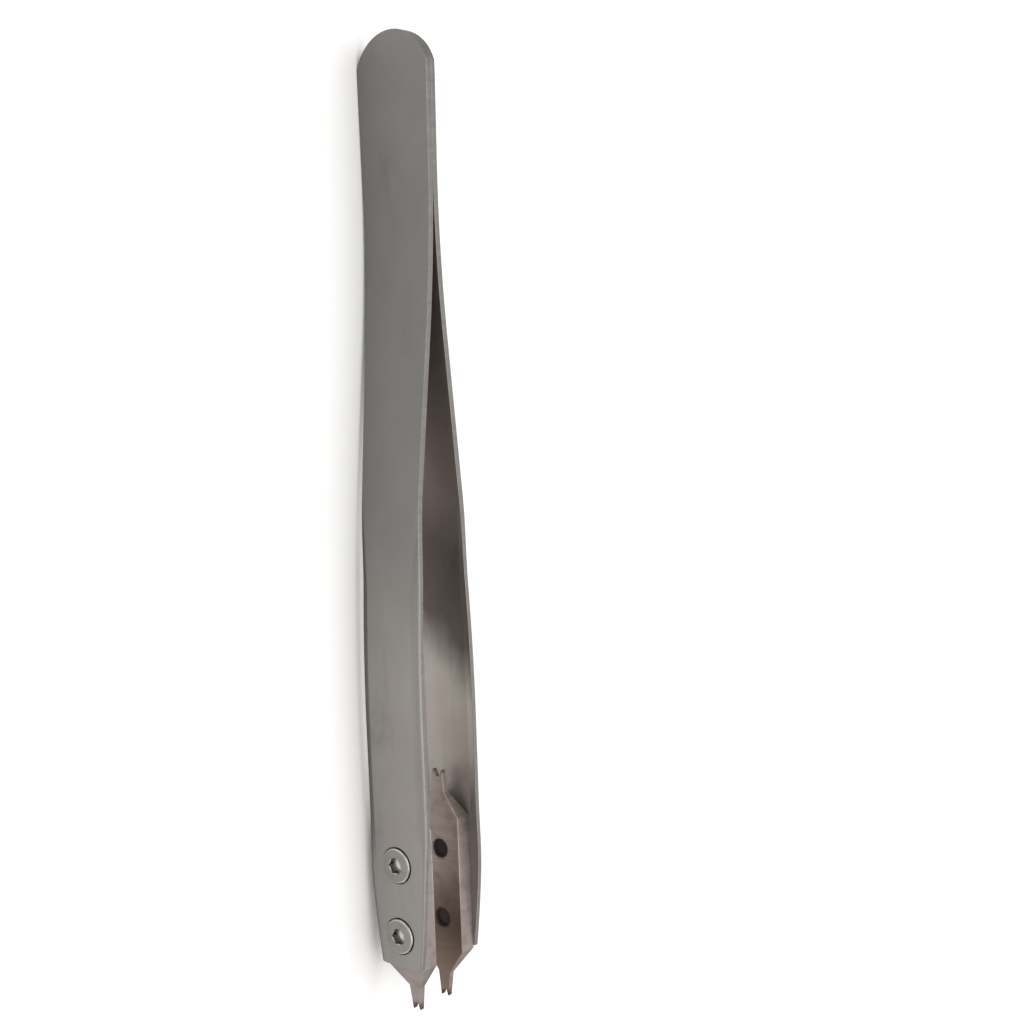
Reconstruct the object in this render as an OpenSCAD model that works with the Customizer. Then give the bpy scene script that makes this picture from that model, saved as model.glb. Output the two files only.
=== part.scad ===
// Spring bar tweezers: two sprung steel arms, welded at the tail, with a fork plate screwed inside each.
// The tool lies on its long edges. X runs along it, tips towards +X; Y is the way it opens; Z is its width.
// The origin is at the middle of the length and of the opening, on the surface that the tool lies on.
// Profiles are written in s, the distance from the tail end along X, and are moved to the frame at the end.

/* [Overall] */
// Length from the tail end to the fork tips
overall_length = 150; // [130:1:180]
// Width of the arms at the tail
tail_width = 14; // [12.4:0.1:16.8]
// Thickness of the arm sheet
sheet_t = 1.0; // [0.85:0.05:1.2]

/* [Arm side profile] */
// Length over which the two tails lie flat on each other and are welded
weld_length = 20; // [14:0.5:24]
// Length of the first bend, which opens the arms
first_bend = 25.5; // [20:0.5:30]
// Length of the second bend, which brings the arms parallel
second_bend = 37; // [30:1:44]
// Length of the parallel stretch ahead of the fork plates
grip_lead = 7.3; // [2:0.1:9]
// Steepest slope of each arm from the middle plane, in degrees
spread_angle = 6.4; // [5.6:0.1:7.6]
// Slope of each arm where the fork plates sit, in degrees, negative when the arms close towards the tips
grip_angle = -0.25; // [-0.6:0.05:0.4]

/* [Arm outline] */
// Width of the arms where the fingers hold them
grip_width = 11.6; // [11:0.2:14]
// Width of the arms at their tip end
nose_width = 8; // [7.8:0.1:9.6]
// Length over which each arm narrows to its tip end
nose_length = 25; // [21:1:30]
// How much larger the radius of the rounded tail end is than half the tail's width
tail_blunt = 0.3; // [0.1:0.05:1]
// Radius of the slightly rounded tip end of each arm
nose_radius = 34; // [24:1:60]

/* [Pressed edges] */
// Width of the edge strip that is pressed inwards
fold_width = 1.5; // [1.2:0.05:1.8]
// How far the edge strip is pressed inwards
fold_depth = 0.55; // [0.45:0.05:0.65]
// Distance from the tail end at which the pressed edges begin
fold_start = 69; // [57:1:82]
// Length over which the pressed edges reach their full depth
fold_run = 15; // [12:1:20]
// Length over which they flatten out again beside the fork plates
fold_fade = 12; // [10:1:14]

/* [Fork plates] */
// Length of a fork plate, tip to tip
fork_length = 36.7; // [32:0.1:44]
// Width of a fork plate
fork_width = 7.7; // [6.4:0.1:7.8]
// Thickness of a fork plate
fork_t = 2.9; // [2.4:0.1:3.5]
// How far the plate stands out past the tip end of the arms
fork_reach = 7.8; // [6.5:0.1:9.4]
// Thickness of its two necks at their roots
neck_t = 1.0; // [0.8:0.05:1.2]
// Thickness of the prongs at their tips
prong_t = 0.75; // [0.6:0.05:0.8]
// Width across the fine fork's prongs
fine_prong_w = 1.5; // [1.25:0.05:1.8]
// Width of the fine neck at its root
fine_root_w = 2.3; // [1.9:0.05:2.7]
// Length of the fine neck
fine_neck = 3.8; // [3.1:0.1:4.6]
// Length of the slanted shoulder behind the fine neck
fine_shoulder = 3.9; // [3.2:0.1:4.7]
// Width of the round bottom of the fine groove
fine_groove = 0.7; // [0.6:0.05:0.85]
// Width across the wide fork's prongs
wide_prong_w = 1.9; // [1.6:0.05:2.3]
// Width of the wide neck at its root
wide_root_w = 2.4; // [2:0.05:2.9]
// Length of the wide neck
wide_neck = 3.5; // [2.9:0.1:4.2]
// Length of the slanted shoulder behind the wide neck
wide_shoulder = 4; // [3.3:0.1:4.8]
// Width of the round bottom of the wide groove
wide_groove = 0.95; // [0.8:0.05:1.15]
// Depth of the grooves between the prongs
groove_depth = 1.1; // [0.9:0.05:1.35]
// Width left on each prong's point
prong_point = 0.14; // [0.1:0.01:0.2]

/* [Screws] */
// Distance between the two screws of one arm
screw_pitch = 11.2; // [9.3:0.1:13.4]
// Distance from the tip end of the arm to its first screw
screw_inset = 5; // [4.2:0.1:6]
// Thread diameter
thread_d = 3; // [2.5:0.1:3.6]
// Core diameter that stays open at the inner end of a tapped hole, smaller than the thread by this much
thread_lip = 0.5; // [0.4:0.05:0.6]
// Clearance on the radius between the thread and the tapped hole
thread_gap = 0.02; // [0.01:0.01:0.05]
// Clearance on the radius between the thread and the hole in the arm
arm_hole_gap = 0.1; // [0.05:0.01:0.15]
// Diameter of the screw head
head_d = 5.5; // [4.6:0.1:6.6]
// How far the screw head stands out of the arm
head_proud = 0.4; // [0.3:0.05:0.5]
// Depth of the round seat that the head sits in
seat_depth = 0.35; // [0.25:0.05:0.45]
// Gap on the radius between the head and the wall of its seat
seat_gap = 0.12; // [0.08:0.02:0.2]
// Radius of the head's rounded rim
rim_r = 0.3; // [0.2:0.05:0.35]
// Width of the hex socket across its flats
hex_af = 2.3; // [1.9:0.1:2.5]
// Depth of the hex socket
hex_depth = 0.9; // [0.7:0.05:1.1]
// How far the screw's end stays below the inner face of the plate
screw_short = 0.5; // [0.4:0.05:0.7]

/* [Hidden] */

steel = [0.66, 0.65, 0.63];
ground_steel = [0.58, 0.55, 0.52];
polished_steel = [0.74, 0.73, 0.71];

over = 1;
hex_sides = 6;
round_fn = 96;
arc_steps = 5;
station_step = 3;
end_gap = 0.1;

arm_end = overall_length - fork_reach;
nose_start = arm_end - nose_length;
fork_start = overall_length - fork_length;
grip_start = fork_start - grip_lead;
straight_end = grip_start - second_bend;
bend_end = weld_length + first_bend;
spread_length = straight_end - bend_end;
tail_radius = tail_width / 2 + tail_blunt;
// The pressed edges are flat again where their bend lines would reach the sides of the fork plates
bend_room = max(0, grip_width - 2 * fold_width - fork_width);
fold_end = nose_start + nose_length * sqrt(bend_room / (grip_width - nose_width));
tip_screw_s = arm_end - screw_inset;

// Slope of an arm summed over one bend, from 0 at its start to the place s
function bend_part(s, from, run, slope_a, slope_b) =
    let(u = max(0, min(run, s - from)))
    slope_a * u + (slope_b - slope_a) * u * u / (2 * run);

// Distance of an arm's inner face from the middle plane at s
function inner_y(s) =
    let(steep = tan(spread_angle), grip = tan(grip_angle))
    bend_part(s, weld_length, first_bend, 0, steep)
    + steep * max(0, min(spread_length, s - bend_end))
    + bend_part(s, straight_end, second_bend, steep, grip)
    + grip * max(0, s - grip_start);

// Half the arm's width at s: a straight taper from the tail to the grip, then a parabola to the nose
function half_w(s) =
    let(taper = max(0, min(1, (s - tail_radius) / (fold_start - tail_radius))),
        nose = max(0, (s - nose_start) / nose_length))
    (tail_width + (grip_width - tail_width) * taper - (grip_width - nose_width) * nose * nose) / 2;

// 0 below t = 0, 1 above t = 1, and a smooth curve between
function smooth(t) = let(u = max(0, min(1, t))) u * u * (3 - 2 * u);

// How far the edges are pressed in at s, from 0 to 1
function fold(s) = smooth((s - fold_start) / fold_run) * smooth((fold_end - s) / fold_fade);

// Cross-section of the arm at s: four outer points, then four inner points, going round once
function section(s) =
    let(w = half_w(s), flat = w - fold_width, drop = fold_depth * fold(s),
        yi = inner_y(s), yo = yi + sheet_t)
    [[s, yo - drop, -w], [s, yo, -flat], [s, yo, flat], [s, yo - drop, w],
     [s, yi - drop, w], [s, yi, flat], [s, yi, -flat], [s, yi - drop, -w]];

// Places along the arm at which its cross-section is set out
station_count = ceil((arm_end + over - weld_length) / station_step);
stations = concat([-over, tail_radius], [for (i = [0 : station_count])
    weld_length + (arm_end + over - weld_length) * i / station_count]);

module arm_sheet() {
    ring = len(section(0));
    last = len(stations) - 1;
    points = [for (s = stations) each section(s)];
    sides = [for (i = [0 : last - 1], j = [0 : ring - 1])
        let(a = i * ring, b = a + ring, k = (j + 1) % ring)
        each [[a + j, a + k, b + k], [a + j, b + k, b + j]]];
    // Each end is closed strip by strip, so that no face has three points on one line
    strips = [[0, 1, 6, 7], [1, 2, 5, 6], [2, 3, 4, 5]];
    caps = [for (q = strips) let(t = [for (j = q) last * ring + j])
        each [[q[2], q[1], q[0]], [q[3], q[2], q[0]], [t[0], t[1], t[2]], [t[0], t[2], t[3]]]];
    polyhedron(points, concat(sides, caps));
}

// Outline of an arm seen square on, with the rounded tail and the slightly rounded tip end
module arm_outline() {
    intersection() {
        union() {
            translate([tail_radius, 0]) circle(tail_radius, $fn = round_fn);
            translate([tail_radius, -tail_width]) square([overall_length, 2 * tail_width]);
        }
        union() {
            translate([arm_end - nose_radius, 0]) circle(nose_radius, $fn = 2 * round_fn);
            translate([-over, -tail_width]) square([arm_end - nose_radius + over, 2 * tail_width]);
        }
    }
}

// Turns a shape drawn in X and Y into one that stands along Y, from depth 0 to depth high
module stand_up(high) {
    rotate([90, 0, 0]) translate([0, 0, -high]) linear_extrude(high) children();
}

// Moves a shape onto the inner face of the rear arm: X along the arm from the screw nearest the tips,
// Y outwards through the sheet
module on_arm() {
    translate([tip_screw_s, inner_y(tip_screw_s), 0]) rotate([0, 0, grip_angle]) children();
}

// A cylinder along Y from y = from to y = to
module peg(d, from, to) {
    translate([0, from, 0]) rotate([-90, 0, 0]) cylinder(h = to - from, d = d, $fn = round_fn);
}

module screw_hole() {
    peg(thread_d + 2 * arm_hole_gap, -over, sheet_t + over);
    peg(head_d + 2 * seat_gap, sheet_t - seat_depth, sheet_t + over);
}

module arm() {
    difference() {
        intersection() {
            arm_sheet();
            stand_up(overall_length) arm_outline();
        }
        on_arm() {
            screw_hole();
            translate([-screw_pitch, 0, 0]) screw_hole();
        }
    }
}

// Half of a fork's neck and shoulder: from the prong's outer corner to the plate's full width
function neck_side(tip, dir, neck, slant, prong_w, root_w) =
    [[tip, prong_w / 2], [tip - dir * neck, root_w / 2], [tip - dir * (neck + slant), fork_width / 2]];

// Groove between two prongs: a round bottom that flares out to the prongs' points
module groove(tip, dir, groove_w, prong_w) {
    bottom = tip - dir * (groove_depth - groove_w / 2);
    mouth = prong_w / 2 - prong_point;
    translate([bottom, 0]) circle(d = groove_w, $fn = round_fn);
    polygon([[bottom, -groove_w / 2], [tip, -mouth], [tip + dir * over, -mouth],
             [tip + dir * over, mouth], [tip, mouth], [bottom, groove_w / 2]]);
}

module fork() {
    fine_tip = overall_length - tip_screw_s;
    wide_tip = fine_tip - fork_length;
    upper = concat(
        neck_side(fine_tip, 1, fine_neck, fine_shoulder, fine_prong_w, fine_root_w),
        [for (p = [2 : -1 : 0])
            neck_side(wide_tip, -1, wide_neck, wide_shoulder, wide_prong_w, wide_root_w)[p]]);
    lower = [for (i = [len(upper) - 1 : -1 : 0]) [upper[i][0], -upper[i][1]]];
    bore_end = -(fork_t - screw_short + end_gap);
    on_arm() difference() {
        intersection() {
            translate([0, -2 * fork_t, 0]) stand_up(3 * fork_t) difference() {
                polygon(concat(upper, lower));
                groove(fine_tip, 1, fine_groove, fine_prong_w);
                groove(wide_tip, -1, wide_groove, wide_prong_w);
            }
            // The necks are thinned from the arm's side, so the prongs are flush with the inner face
            translate([0, 0, -fork_width]) linear_extrude(2 * fork_width) polygon([
                [fine_tip, -fork_t], [fine_tip, prong_t - fork_t],
                [fine_tip - fine_neck, neck_t - fork_t], [fine_tip - fine_neck - fine_shoulder, 0],
                [wide_tip + wide_neck + wide_shoulder, 0], [wide_tip + wide_neck, neck_t - fork_t],
                [wide_tip, prong_t - fork_t], [wide_tip, -fork_t]]);
        }
        for (x = [0, -screw_pitch]) translate([x, 0, 0]) {
            peg(thread_d, bore_end, over);
            peg(thread_d - thread_lip, -fork_t - over, over);
        }
    }
}

// Half profile of a screw, radius against height, with a rounded rim and a chamfered end
module screw_profile() {
    top = sheet_t + head_proud;
    seat = sheet_t - seat_depth;
    end = screw_short - fork_t;
    shank_r = thread_d / 2 - thread_gap;
    chamfer = thread_lip / 2;
    rim = [for (i = [0 : arc_steps])
        let(a = 90 * i / arc_steps)
        [head_d / 2 - rim_r + rim_r * cos(a), top - rim_r + rim_r * sin(a)]];
    polygon(concat([[0, end], [shank_r - chamfer, end], [shank_r, end + chamfer], [shank_r, seat],
                    [head_d / 2, seat]], rim, [[0, top]]));
}

module screw(place) {
    on_arm() translate([place, 0, 0]) difference() {
        rotate([-90, 0, 0]) rotate_extrude($fn = round_fn) screw_profile();
        translate([0, sheet_t + head_proud - hex_depth, 0]) rotate([-90, 0, 0])
            cylinder(h = hex_depth + over, d = hex_af / cos(180 / hex_sides), $fn = hex_sides);
    }
}

// Moves a shape from s to the frame, the front half being the mirror image of the rear half
module rear() {
    translate([-overall_length / 2, 0, tail_width / 2]) children();
}
module front() {
    rear() mirror([0, 1, 0]) children();
}

module front_arm() { color(steel) front() arm(); }
module rear_arm() { color(steel) rear() arm(); }
module front_fork() { color(ground_steel) front() fork(); }
module rear_fork() { color(ground_steel) rear() fork(); }
module front_screw_tip() { color(polished_steel) front() screw(0); }
module front_screw_tail() { color(polished_steel) front() screw(-screw_pitch); }
module rear_screw_tip() { color(polished_steel) rear() screw(0); }
module rear_screw_tail() { color(polished_steel) rear() screw(-screw_pitch); }

front_arm();
rear_arm();
front_fork();
rear_fork();
front_screw_tip();
front_screw_tail();
rear_screw_tip();
rear_screw_tail();
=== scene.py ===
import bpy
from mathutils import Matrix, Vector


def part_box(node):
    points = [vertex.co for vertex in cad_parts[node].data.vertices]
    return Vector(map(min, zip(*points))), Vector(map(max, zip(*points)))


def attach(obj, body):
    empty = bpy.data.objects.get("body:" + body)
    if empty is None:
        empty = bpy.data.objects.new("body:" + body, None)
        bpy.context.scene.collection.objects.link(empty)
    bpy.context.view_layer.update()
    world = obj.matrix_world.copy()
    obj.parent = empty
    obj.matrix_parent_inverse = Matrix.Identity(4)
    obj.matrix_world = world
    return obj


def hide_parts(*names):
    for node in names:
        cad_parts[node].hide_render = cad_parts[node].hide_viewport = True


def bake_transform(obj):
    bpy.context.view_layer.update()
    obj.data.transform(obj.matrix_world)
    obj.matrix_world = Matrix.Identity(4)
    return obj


bl_info = {
    "name": "Spring Bar Tweezers",
    "version": (1, 0, 0),
    "blender": (4, 5, 0),
    "location": "View3D > Sidebar > Tweezers",
    "description": "Builds the finished arms, fork plates and screws of a pair of spring bar tweezers",
    "category": "Object",
}

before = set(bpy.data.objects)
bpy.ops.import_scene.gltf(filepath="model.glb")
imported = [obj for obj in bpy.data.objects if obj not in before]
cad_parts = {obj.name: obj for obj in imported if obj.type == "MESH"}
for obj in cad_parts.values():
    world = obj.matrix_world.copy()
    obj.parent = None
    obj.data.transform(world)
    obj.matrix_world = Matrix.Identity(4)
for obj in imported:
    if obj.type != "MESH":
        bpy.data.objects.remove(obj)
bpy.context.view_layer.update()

import math
from types import SimpleNamespace

import bmesh
import bpy
import numpy as np
from bpy.props import FloatProperty, FloatVectorProperty, IntProperty, PointerProperty
from mathutils import Matrix, Vector

ARM_LOW, ARM_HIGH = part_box("rear_arm")
FORK_LOW, FORK_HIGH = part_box("rear_fork")
SCREW_BOXES = [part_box("rear_screw_tip"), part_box("rear_screw_tail")]

TAIL_X = ARM_LOW.x
ARM_LENGTH = ARM_HIGH.x - ARM_LOW.x
MID_Z = (ARM_LOW.z + ARM_HIGH.z) / 2
TAIL_WIDTH = ARM_HIGH.z - ARM_LOW.z
FORK_LENGTH = FORK_HIGH.x - FORK_LOW.x
FORK_WIDTH = FORK_HIGH.z - FORK_LOW.z
SCREW_X = [(low.x + high.x) / 2 for low, high in SCREW_BOXES]
HEAD_RADIUS = (SCREW_BOXES[0][1].x - SCREW_BOXES[0][0].x) / 2
SCREW_FACE = SCREW_BOXES[0][1].y

MM = 0.001
REAR, FRONT = 1, -1
SIDES = {"rear": REAR, "front": FRONT}
# Stretches along X over which a finish changes from one tone to the next. The first four are painted light
# and shade: the arms brightening towards the grip, and on their inner faces a dark band, a bright stretch and
# a darker end near the plates. The last is the plates' browning.
PAINTED_LIGHT_ALONG = (-4 * MM, 24 * MM)
INSIDE_PAINTED_DARK = (-8 * MM, 4 * MM)
INSIDE_PAINTED_LIGHT = (14 * MM, 24 * MM)
INSIDE_END_PAINTED_SHADE = (42 * MM, 48 * MM)
BROWNED = (50 * MM, 64 * MM)


# ---------------------------------------------------------------- sizes and colours a user may change

def length_property(name, description, millimetres):
    return FloatProperty(name=name, description=description, default=millimetres * MM,
                         unit="LENGTH", subtype="DISTANCE", precision=5)


def angle_property(name, description, degrees):
    return FloatProperty(name=name, description=description, default=math.radians(degrees),
                         unit="ROTATION", subtype="ANGLE")


def colour_property(name, description, default):
    return FloatVectorProperty(name=name, description=description, default=default,
                               subtype="COLOR", size=3)


class TweezerArmSettings(bpy.types.PropertyGroup):
    """Sizes of the two sprung sheet arms"""
    sheet: length_property("Sheet", "Thickness of the arm sheet", 1.0)
    weld: length_property("Weld length", "Length over which the tails lie on each other", 20.0)
    first_bend: length_property("First bend", "Length of the bend that opens the arms", 25.5)
    second_bend: length_property("Second bend", "Length of the bend back to parallel", 37.0)
    grip_lead: length_property("Grip lead", "Parallel stretch ahead of the fork plates", 7.3)
    spread_angle: angle_property("Spread angle", "Steepest slope of each arm", 6.4)
    grip_angle: angle_property("Grip angle", "Slope of each arm at its fork plate", -0.25)
    grip_width: length_property("Grip width", "Width of the arms in the fingers", 11.6)
    nose_width: length_property("Nose width", "Width of the arms at their tip end", 8.0)
    nose_length: length_property("Nose length", "Length over which the arms narrow", 25.0)
    tail_blunt: length_property("Tail blunting", "Extra radius of the rounded tail end", 0.3)
    nose_radius: length_property("Nose radius", "Radius of the tip end's slight curve", 34.0)
    fold_width: length_property("Pressed edge width", "Width of the pressed edge strips", 1.5)
    fold_depth: length_property("Pressed edge depth", "Depth of the pressed edge strips", 0.55)
    fold_start: length_property("Pressed edge start", "Where the pressed edges begin", 69.0)
    fold_run: length_property("Pressed edge run", "Length over which they reach full depth", 15.0)
    fold_fade: length_property("Pressed edge fade", "Length over which they flatten out again", 12.0)
    arris_width: length_property("Arris width", "How far in the pressed edge is rounded over", 0.8)
    arris_depth: length_property("Arris depth", "How much the rounding takes off the edge", 0.3)
    # The band in from the edge is brightened as a painted highlight along the arris, partly edge wear
    worn_sheen_from: length_property("Worn sheen from", "Where the rubbed band starts, from the edge", 0.2)
    worn_sheen_to: length_property("Worn sheen to", "Where the rubbed band ends, from the edge", 0.75)
    edge_radius: length_property("Edge radius", "Rounding left on the sheet's cut edges", 0.1)
    seat_depth: length_property("Seat depth", "Depth of the round seat under a screw head", 0.35)
    seat_gap: length_property("Seat gap", "Gap round the screw head", 0.12)
    hole_radius: length_property("Hole radius", "Radius of the clearance holes", 1.6)
    seat_chamfer: length_property("Seat chamfer", "Broken edge round the seat's mouth", 0.06)
    fold_softness: length_property("Crease softness", "How gently the pressed strip leaves the face", 0.2)
    spring_length: length_property("Spring length", "Length over which an arm bends when squeezed", 60.0)
    row_step: length_property("Row step", "Distance between rows of the sheet's mesh", 0.7)


class TweezerForkSettings(bpy.types.PropertyGroup):
    """Sizes of the two fork plates"""
    thick: length_property("Thickness", "Thickness of a fork plate", 2.9)
    neck_thick: length_property("Neck thickness", "Thickness of the necks at their roots", 1.0)
    prong_thick: length_property("Prong thickness", "Thickness of the prongs at their tips", 0.75)
    fine_prong: length_property("Fine prong width", "Width across the fine prongs", 1.5)
    fine_root: length_property("Fine root width", "Width of the fine neck at its root", 2.3)
    fine_neck: length_property("Fine neck length", "Length of the fine neck", 3.8)
    fine_shoulder: length_property("Fine shoulder", "Length of the shoulder behind it", 3.9)
    fine_groove: length_property("Fine groove", "Width of the fine groove's round bottom", 0.7)
    wide_prong: length_property("Wide prong width", "Width across the wide prongs", 1.9)
    wide_root: length_property("Wide root width", "Width of the wide neck at its root", 2.4)
    wide_neck: length_property("Wide neck length", "Length of the wide neck", 3.5)
    wide_shoulder: length_property("Wide shoulder", "Length of the shoulder behind it", 4.0)
    wide_groove: length_property("Wide groove", "Width of the wide groove's round bottom", 0.95)
    groove_depth: length_property("Groove depth", "Depth of both grooves", 1.1)
    prong_point: length_property("Prong point", "Width left on each prong's point", 0.14)
    edge_break: length_property("Edge break", "Size of the broken edges", 0.05)


class TweezerScrewSettings(bpy.types.PropertyGroup):
    """Sizes of the four screws and their threads"""
    proud: length_property("Head height", "How far a head stands out of the arm", 0.4)
    rim: length_property("Rim radius", "Rounding of the head's rim", 0.3)
    hex_flats: length_property("Hex width", "Width of the hex socket across flats", 2.3)
    hex_depth: length_property("Hex depth", "Depth of the hex socket", 0.9)
    thread: length_property("Thread diameter", "Outer diameter of the thread", 3.0)
    core: length_property("Core diameter", "Diameter at the bottom of the thread", 2.5)
    pitch: length_property("Pitch", "Distance between the thread's turns", 0.5)
    short: length_property("End depth", "How far the end lies below the inner face", 0.5)
    first_turn: angle_property("Turn", "How far the screws are turned on average", 30)
    turn_spread: angle_property("Turn spread", "Range of their turns", 10)
    seed: IntProperty(name="Turn seed", description="Seed for how far each screw is turned", default=5)


class TweezerFinishSettings(bpy.types.PropertyGroup):
    """Colours of the steel"""
    arm: colour_property("Arm steel", "Colour of the satin arms", (0.214, 0.210, 0.200))
    # Painted light: the arms turn to this brighter colour towards the grip; the edge band of painted
    # highlight and wear takes it too
    lit_and_worn: colour_property("Lit and worn steel", "Colour where fingers keep them bright", (0.304, 0.287, 0.272))
    edge: colour_property("Cut edge", "Colour of the arms' cut edges", (0.235, 0.226, 0.216))
    # Painted light: the inner faces are made far brighter than the outer steel, standing in for light from
    # the floor reflected between the arms
    inside: colour_property("Inside", "Colour of the arms' inner faces", (0.60, 0.565, 0.535))
    # Painted shade: a dark band on the inner faces, standing in for shade reflected there
    painted_dark_band: colour_property("Painted dark band", "Colour of their dull stretch", (0.345, 0.298, 0.282))
    stain: colour_property("Stain", "Colour of the faint stains on the steel", (0.15, 0.13, 0.11))
    fork: colour_property("Fork steel", "Colour of the ground fork plates", (0.315, 0.278, 0.268))
    browned: colour_property("Browned steel", "Colour of the plates' fine ends", (0.20, 0.15, 0.122))
    oxide: colour_property("Oxide", "Colour of oxide, oil and dirt in the holes", (0.026, 0.017, 0.013))
    screw: colour_property("Screw steel", "Colour of the screws", (0.25, 0.241, 0.229))
    floor: colour_property("Floor", "Colour of the floor", (0.93, 0.93, 0.925))


class TweezerStageSettings(bpy.types.PropertyGroup):
    """Where the camera stands and how bright the studio is"""
    azimuth: angle_property("Azimuth", "Camera's turn round the tool", -7.19)
    elevation: angle_property("Elevation", "Camera's height over the floor", 38.34)
    roll: angle_property("Roll", "Camera's turn about its own axis", 92.5)
    distance: length_property("Distance", "Camera's distance from its aim point", 244.9)
    aim: FloatVectorProperty(name="Aim", description="Point the camera looks at, from the tool's middle",
                             default=(-3.0 * MM, 9.97 * MM, 12.03 * MM), unit="LENGTH", size=3)
    lens: FloatProperty(name="Lens", description="Focal length in millimetres", default=56.09)
    shift: FloatVectorProperty(name="Shift", description="Camera shift that centres the framing",
                               default=(-0.00274, -0.00497), size=2)
    world: FloatProperty(name="World light", description="Strength of the plain surround", default=0.75)


def settings():
    return bpy.context.scene.tweezers


def in_millimetres(group):
    """A settings group's lengths in millimetres, the unit in which the cut and joined solids are drawn"""
    return SimpleNamespace(**{item.identifier: getattr(group, item.identifier) / MM
                              for item in group.bl_rna.properties if getattr(item, "unit", "") == "LENGTH"})


# ---------------------------------------------------------------- node tree helpers

class Graph:
    """Adds nodes to one tree and links them, so that a formula reads as one line per step"""

    def __init__(self, tree):
        self.tree = tree

    def add(self, kind, *wires, **options):
        node = self.tree.nodes.new(kind)
        named = options.pop("inputs", {})
        for key, value in options.items():
            setattr(node, key, value)
        for place, value in list(enumerate(wires)) + list(named.items()):
            self.feed(node.inputs[place], value)
        return node

    def feed(self, socket, value):
        if isinstance(value, bpy.types.NodeSocket):
            self.tree.links.new(value, socket)
        elif value is not None:
            socket.default_value = value

    def math(self, operation, *values, clamp=False):
        return self.add("ShaderNodeMath", *values, operation=operation, use_clamp=clamp).outputs[0]

    def ramp(self, value, low, high, to_low=0.0, to_high=1.0, smooth=False):
        node = self.add("ShaderNodeMapRange", interpolation_type="SMOOTHSTEP" if smooth else "LINEAR",
                        clamp=True)
        for place, number in enumerate((value, low, high, to_low, to_high)):
            self.feed(node.inputs[place], number)
        return node.outputs[0]

    def mix_colour(self, share, first, second, mode="MIX"):
        """Mixes two colours, each a socket or its three parts"""
        node = self.add("ShaderNodeMix", data_type="RGBA", blend_type=mode)
        self.feed(node.inputs[0], share)
        for place, colour in ((6, first), (7, second)):
            given = isinstance(colour, bpy.types.NodeSocket)
            self.feed(node.inputs[place], colour if given else (*colour, 1.0))
        return node.outputs[2]

    def coat(self, base, mask, strength, colour, mode="MIX"):
        """The base with another colour over it, as far as the mask and the strength say"""
        return self.mix_colour(self.math("MULTIPLY", mask, strength), base, colour, mode)


def group_named(name):
    """The node group of that name, made when it is first asked for"""
    return bpy.data.node_groups.get(name) or MAKERS[name]()


def open_group(name, kind, sockets_in, sockets_out):
    """A new node group with its named sockets, and the graph, inputs and output node to fill it with"""
    tree = bpy.data.node_groups.new(name, kind)
    for label, socket_type, default in sockets_in:
        socket = tree.interface.new_socket(label, in_out="INPUT", socket_type=socket_type)
        if default is not None:
            socket.default_value = default
    for label, socket_type in sockets_out:
        tree.interface.new_socket(label, in_out="OUTPUT", socket_type=socket_type)
    graph = Graph(tree)
    entry = graph.add("NodeGroupInput")
    leave = graph.add("NodeGroupOutput")
    return graph, entry.outputs, leave.inputs


# ---------------------------------------------------------------- shader effects shared by the finishes

def noise(g, place, scale, detail, roughness=0.5, **more):
    inputs = {"Vector": place, "Scale": scale, "Detail": detail, "Roughness": roughness}
    return g.add("ShaderNodeTexNoise", inputs=inputs | more).outputs[0]


def grain_group():
    """Fine straight grinding lines, as height and as a light and dark mask"""
    g, given, result = open_group(
        "Ground grain", "ShaderNodeTree",
        [("Vector", "NodeSocketVector", None), ("Seed", "NodeSocketFloat", 0.0)],
        [("Height", "NodeSocketFloat"), ("Mask", "NodeSocketFloat"), ("Scratch", "NodeSocketFloat")])
    offset = g.add("ShaderNodeCombineXYZ", given["Seed"], given["Seed"], given["Seed"])
    place = g.add("ShaderNodeVectorMath", given["Vector"], offset.outputs[0], operation="ADD").outputs[0]
    fine = noise(g, place, 1.0, 4.0, 0.65)
    broad = noise(g, place, 0.23, 2.0, 0.5)
    both = g.math("MULTIPLY_ADD", broad, 0.5, g.math("MULTIPLY", fine, 0.5))
    g.feed(result["Height"], both)
    g.feed(result["Mask"], g.ramp(both, 0.38, 0.62))
    g.feed(result["Scratch"], g.ramp(fine, 0.66, 0.76))
    return g.tree


def blotch_group():
    """Soft uneven patches, such as handling stains and dull spots"""
    g, given, result = open_group(
        "Handling blotches", "ShaderNodeTree",
        [("Vector", "NodeSocketVector", None), ("Size", "NodeSocketFloat", 60.0),
         ("Cover", "NodeSocketFloat", 0.5)],
        [("Patches", "NodeSocketFloat"), ("Clouds", "NodeSocketFloat"), ("Specks", "NodeSocketFloat")])
    big = noise(g, given["Vector"], given["Size"], 5.0, 0.6, Distortion=0.6)
    low = g.math("SUBTRACT", 0.72, g.math("MULTIPLY", given["Cover"], 0.3))
    high = g.math("ADD", low, 0.14)
    g.feed(result["Patches"], g.ramp(big, low, high, smooth=True))
    g.feed(result["Clouds"], g.ramp(big, 0.3, 0.7))
    g.feed(result["Specks"], g.ramp(noise(g, given["Vector"], 1400.0, 3.0, 0.7), 0.62, 0.74))
    return g.tree


def wear_group():
    """Where edges are brightened, partly as real wear and partly as a painted highlight: the wear-and-sheen
    attribute broken up by noise
    """
    g, given, result = open_group(
        "Edge wear", "ShaderNodeTree",
        [("Vector", "NodeSocketVector", None), ("Wear", "NodeSocketFloat", 0.0),
         ("Evenness", "NodeSocketFloat", 0.6)],
        [("Mask", "NodeSocketFloat")])
    broken = g.ramp(noise(g, given["Vector"], 900.0, 3.0, 0.6), 0.35, 0.65)
    level = g.math("ADD", given["Evenness"], broken, clamp=True)
    g.feed(result["Mask"], g.math("MULTIPLY", given["Wear"], level, clamp=True))
    return g.tree


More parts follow.
